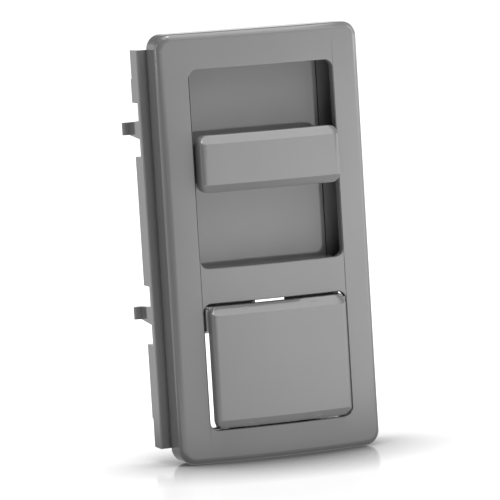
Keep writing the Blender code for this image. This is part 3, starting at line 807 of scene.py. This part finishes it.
def make_pad(material):
    """Hollow push pad with ribs, post, lip, bosses, tabs and ears."""
    front = PAD_MIN[1]
    low = PAD_MIN[2]
    pad = bowed_block(PAD_HALF_W, low, PAD_TOP, PAD_CORNER, chamfer_layers(PAD_ROUND, PAD_CHAMFER),
                      PAD_REAR_Y, front)
    hollow = bowed_block(PAD_HALF_W - PAD_WALL, low + PAD_WALL, PAD_TOP - PAD_WALL, PAD_CORNER / 2,
                         [(0.0, PAD_CHAMFER / 2, 0.0), (0.0, 0.0, PAD_CHAMFER / 2)],
                         PAD_REAR_Y + PAST, front + CAP_SKIN)
    cut(pad, hollow)
    soften(pad, CAP_ROUND, CAP_ANGLE)
    skin_y = front + RIB_ROOT
    rib_half = RIB_THICK / 2
    add(pad, box((-PAD_HALF_W + RIB_INSET, PAD_HALF_W - RIB_INSET), (skin_y, RIB_REAR_Y),
                 (POST_Z - rib_half, POST_Z + rib_half)))
    post = rod("Y", (0.0, POST_Z), (skin_y, PAD_MAX[1]), POST_R)
    soften(post, POST_ROUND)
    lip = box((-LIP_HALF_W, LIP_HALF_W), (PAD_REAR_Y - ROOT_BITE, LIP_REAR_Y),
              (low + HIDDEN_INSET, low + PAD_WALL - HIDDEN_INSET))
    soften(lip, LIP_ROUND, segments=2)
    add(pad, post, lip)
    for side in (1, -1):
        rib_x = mirrored((SPRING_X - rib_half, SPRING_X + rib_half), side)
        add(pad, box(rib_x, (skin_y, RIB_REAR_Y - RIB_STEP), (low + RIB_INSET, PAD_TOP - RIB_INSET)))
        boss_x = mirrored((SPRING_X - BOSS_HALF_W, SPRING_X + BOSS_HALF_W), side)
        boss = box(boss_x, (skin_y + RIB_STEP, BOSS_REAR_Y),
                   (SPRING_TIP_Z - BOSS_HALF_H, SPRING_TIP_Z + BOSS_HALF_H))
        soften(boss, BOSS_ROUND)
        root = box(mirrored(TAB_ROOT_X, side),
                   (PAD_REAR_Y - ROOT_BITE, TAB_FRONT_Y + TAB_THICK - TAB_ROOT_GAP),
                   (PAD_TOP - PAD_WALL + HIDDEN_INSET, PAD_TOP - HIDDEN_INSET))
        tab = prism(tab_outline(side), "Z", (PAD_TOP - PAD_WALL - TAB_BITE, PAD_MAX[2]))
        soften(tab, TAB_ROUND, segments=2)
        ear = prism(ear_outline(), "X", mirrored(EAR_X, side))
        cut(ear, rod("X", (PIVOT_Y, PIVOT_Z), mirrored(EAR_CUT_X, side), PIN_HOLE_R))
        soften(ear, TAB_ROUND, segments=2)
        add(pad, ear, boss, root, tab)
    return finish_piece(pad, "rocker_pad_cap", material, "pad", ["rocker_pad"])


def make_hinge_pin(side, word, material):
    """Short steel pin through the pad's ear and the carrier's bearing."""
    span = mirrored((PIN_MIN[0], PIN_MAX[0]), side)
    pin = rod("X", (PIVOT_Y, PIVOT_Z), span, PIN_MAX[2] - PIVOT_Z)
    soften(pin, PIN_ROUND)
    return finish_piece(pin, "hinge_pin_steel_" + word, material, "frame", ["hinge_pin_" + word])


def spring_line():
    """Middle line of a return spring in Y and Z: a flat foot, a bent arm and a curled tip."""
    points = [(SPRING_FOOT_Y, SPRING_FOOT_LOW), (SPRING_FOOT_Y, SPRING_FOOT_HIGH)]
    rise = SPRING_TIP_Z - SPRING_FOOT_HIGH
    for step in range(1, SPRING_STEPS + 1):
        share = step / SPRING_STEPS
        ease = share * share * (3 - 2 * share)
        points.append((SPRING_FOOT_Y + (SPRING_TIP_Y - SPRING_FOOT_Y) * ease,
                       SPRING_FOOT_HIGH + rise * share))
    points.append((SPRING_TIP_Y + SPRING_CURL[0], SPRING_TIP_Z + SPRING_CURL[1]))
    return points


def strip_outline(points, thick):
    """Outline of a strip of even thickness along a line."""
    near = []
    far = []
    for step, (a, b) in enumerate(points):
        before = points[max(step - 1, 0)]
        after = points[min(step + 1, len(points) - 1)]
        run = (after[0] - before[0], after[1] - before[1])
        size = math.hypot(*run)
        across = (-run[1] / size * thick / 2, run[0] / size * thick / 2)
        near.append((a + across[0], b + across[1]))
        far.append((a - across[0], b - across[1]))
    return near + far[::-1]


def make_return_spring(side, word, material):
    """Leaf held by its foot on the carrier, with its curled tip at the pad."""
    span = mirrored((SPRING_X - SPRING_HALF_W, SPRING_X + SPRING_HALF_W), side)
    spring = prism(strip_outline(spring_line(), SPRING_THICK), "X", span)
    soften(spring, SPRING_ROUND, SPRING_ANGLE, 2)
    cut(spring, rod("Y", (side * SPRING_X, STUD_Z), SPRING_CUT_Y, STUD_HOLE_R))
    leaf = finish_piece(spring, "return_spring_leaf_" + word, material, None,
                        ["return_spring_" + word])
    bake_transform(leaf)
    return leaf


# ---------------------------------------------------------------- studio

# Lengths from here on are metres.
FLOOR_SIZE = 6.0
FLOOR_DROP = 0.0001             # below the part, so that no face lies in the floor
FLOOR_ROUGHNESS = 0.14
FLOOR_WHITE = 0.62
# Painted contact shadow round the part's foot on the floor: its reach, its steepness and its samples.
SHADOW_REACH = 0.022
SHADOW_DEPTH = 2.5
SHADOW_SAMPLES = 16
FLOOR_FRONT = 0.35              # light that the floor gives the camera, in front and behind
FLOOR_BACK = 0.6
GAIN_STEP = (-0.01, 0.05)

# Light that the floor gives the plastic, and where it goes from one level to the next.
GLOW_LEFT = 0.25
GLOW_RIGHT = 2.9
SIDE_STEP = (-0.15, 0.08)
GLOW_FAR = 1.6                  # far in front of the part
FAR_STEP = (-1.2, -0.5)
GLOW_NEAR = 1.3                 # close in front of it
NEAR_STEP = (-0.07, -0.012)
GLOW_FOOT = 0.4                 # where it stands
FOOT_STEP = (-0.0145, -0.0115)
GLOW_BACK = 1.1                 # behind it
BACK_STEP = (0.0, 0.06)

SKY_BASE = 0.08                 # light that the surroundings give the plastic
SKY_BACK = 1.1                  # and their low wall behind the part
WALL_SIDE_STEP = (0.3, 0.7)
WALL_TOP_STEP = (0.12, 0.3)

SOFTBOXES = (                   # name, azimuth, elevation, distance, size, radiance
    ("front_right", 30.0, 20.0, 1.2, (1.6, 0.56), 1.0),
    ("top_front", 20.0, 42.0, 1.2, (0.9, 0.7), 2.0),
    ("overhead", 0.0, 85.0, 1.0, (1.1, 1.1), 3.4),
    ("left_strip", -112.0, 5.0, 1.2, (0.15, 1.2), 6.0),
    ("right_strip", 65.0, 5.0, 1.2, (0.12, 1.2), 7.0),
    ("right", 84.0, 5.0, 1.2, (1.4, 1.0), 1.0),
    ("high_spot", -45.0, 84.0, 1.0, (0.16, 0.16), 30.0),
)


class Field:
    """Smooth steps between levels, for the brightness of the floor and of the surroundings."""

    def __init__(self, tree, vector):
        self.tree = tree
        split = tree.nodes.new("ShaderNodeSeparateXYZ")
        tree.links.new(vector, split.inputs["Vector"])
        self.axes = split.outputs

    def step(self, axis, start, end, low, high):
        """Level that goes from low to high as the coordinate goes from start to end."""
        node = self.tree.nodes.new("ShaderNodeMapRange")
        node.interpolation_type = "SMOOTHSTEP"
        settings = {"From Min": start, "From Max": end, "To Min": low, "To Max": high}
        for socket, level in settings.items():
            if isinstance(level, (int, float)):
                node.inputs[socket].default_value = level
            else:
                self.tree.links.new(level, node.inputs[socket])
        self.tree.links.new(self.axes[axis], node.inputs["Value"])
        return node.outputs["Result"]


def make_floor():
    """Glossy white light table: plain to the eye but for a painted contact shadow round the part's foot,
    and a light of uneven brightness for the plastic.
    """
    shape = bmesh.new()
    bmesh.ops.create_grid(shape, x_segments=1, y_segments=1, size=FLOOR_SIZE)
    floor = new_object("floor", shape)
    floor.location = (0.0, 0.0, CAD_BOX[0].z - FLOOR_DROP)
    made = Nodes("white_floor")
    # Painted contact shadow: ambient occlusion darkens the floor's colour near the part.
    shade = made.tree.nodes.new("ShaderNodeAmbientOcclusion")
    shade.samples = SHADOW_SAMPLES
    shade.inputs["Distance"].default_value = SHADOW_REACH
    depth = made.calculate("POWER", shade.outputs["AO"], SHADOW_DEPTH)
    made.link(made.calculate("MULTIPLY", depth, FLOOR_WHITE), made.shader, "Base Color")
    made.shader.inputs["Roughness"].default_value = FLOOR_ROUGHNESS
    field = Field(made.tree, made.place)
    front = field.step("X", *SIDE_STEP, GLOW_LEFT, GLOW_RIGHT)
    far = field.step("Y", *FAR_STEP, GLOW_FAR, front)
    near = field.step("Y", *NEAR_STEP, far, GLOW_NEAR)
    foot = field.step("Y", *FOOT_STEP, near, GLOW_FOOT)
    level = field.step("Y", *BACK_STEP, foot, GLOW_BACK)
    glow = made.tree.nodes.new("ShaderNodeEmission")
    made.link(level, glow, "Strength")
    made.shader.inputs["Emission Color"].default_value = (1.0, 1.0, 1.0, 1.0)
    # The painted contact shadow darkens the glow that the camera sees as well.
    gain = made.calculate("MULTIPLY", depth, field.step("Y", *GAIN_STEP, FLOOR_FRONT, FLOOR_BACK))
    made.link(gain, made.shader, "Emission Strength")
    seen = made.tree.nodes.new("ShaderNodeLightPath")
    pick = made.tree.nodes.new("ShaderNodeMixShader")
    made.link(seen.outputs["Is Camera Ray"], pick, "Fac")
    made.tree.links.new(glow.outputs["Emission"], pick.inputs[1])
    made.tree.links.new(made.shader.outputs["BSDF"], pick.inputs[2])
    made.link(pick.outputs["Shader"], made.tree.nodes["Material Output"], "Surface")
    floor.data.materials.append(made.material)


def make_world():
    """Dim studio with a low bright wall behind the face; the eye sees it white all round."""
    world = bpy.data.worlds.new("studio")
    world.use_nodes = True
    tree = world.node_tree
    tree.nodes.clear()
    place = tree.nodes.new("ShaderNodeTexCoord")
    field = Field(tree, place.outputs["Generated"])
    wall = field.step("Y", *WALL_SIDE_STEP, SKY_BASE, SKY_BACK)
    level = field.step("Z", *WALL_TOP_STEP, wall, SKY_BASE)
    seen = tree.nodes.new("ShaderNodeLightPath")
    pick = tree.nodes.new("ShaderNodeMix")
    pick.data_type = "FLOAT"
    pick.inputs["B"].default_value = 1.0
    sky = tree.nodes.new("ShaderNodeBackground")
    out = tree.nodes.new("ShaderNodeOutputWorld")
    tree.links.new(level, pick.inputs["A"])
    tree.links.new(seen.outputs["Is Camera Ray"], pick.inputs["Factor"])
    tree.links.new(pick.outputs["Result"], sky.inputs["Strength"])
    tree.links.new(sky.outputs["Background"], out.inputs["Surface"])
    bpy.context.scene.world = world


def softbox(name, azimuth, elevation, distance, size, radiance):
    """Rectangular softbox of a given brightness, facing the part; azimuth 0 is in front of it."""
    side = math.radians(azimuth)
    rise = math.radians(elevation)
    place = Vector((math.sin(side) * math.cos(rise), -math.cos(side) * math.cos(rise), math.sin(rise)))
    data = bpy.data.lights.new(name, "AREA")
    data.shape = "RECTANGLE"
    data.size = size[0]
    data.size_y = size[1]
    data.energy = radiance * math.pi * size[0] * size[1]
    light = bpy.data.objects.new(name, data)
    light.location = place * distance
    light.rotation_euler = place.to_track_quat("Z", "Y").to_euler()
    light.visible_camera = False
    bpy.context.scene.collection.objects.link(light)


def make_lights():
    """All softboxes of the studio."""
    for settings in SOFTBOXES:
        softbox(*settings)


# ---------------------------------------------------------------- build

for name in ("Cube", "Light", "Camera"):
    if name in bpy.data.objects:
        bpy.data.objects.remove(bpy.data.objects[name])

bpy.context.scene.view_settings.view_transform = "Standard"
make_camera()
plastic = moulded_plastic("grey_gloss_plastic", PLASTIC_GREY, PLASTIC_ROUGHNESS)
steel = spring_steel("spring_steel")
make_bezel(plastic)
make_carrier(plastic)
make_panel(plastic)
make_slide_bar(plastic)
make_carriage(plastic)
make_pad(plastic)
for side, word in ((1, "right"), (-1, "left")):
    make_hinge_pin(side, word, steel)
    make_return_spring(side, word, steel)
make_floor()
make_world()
make_lights()
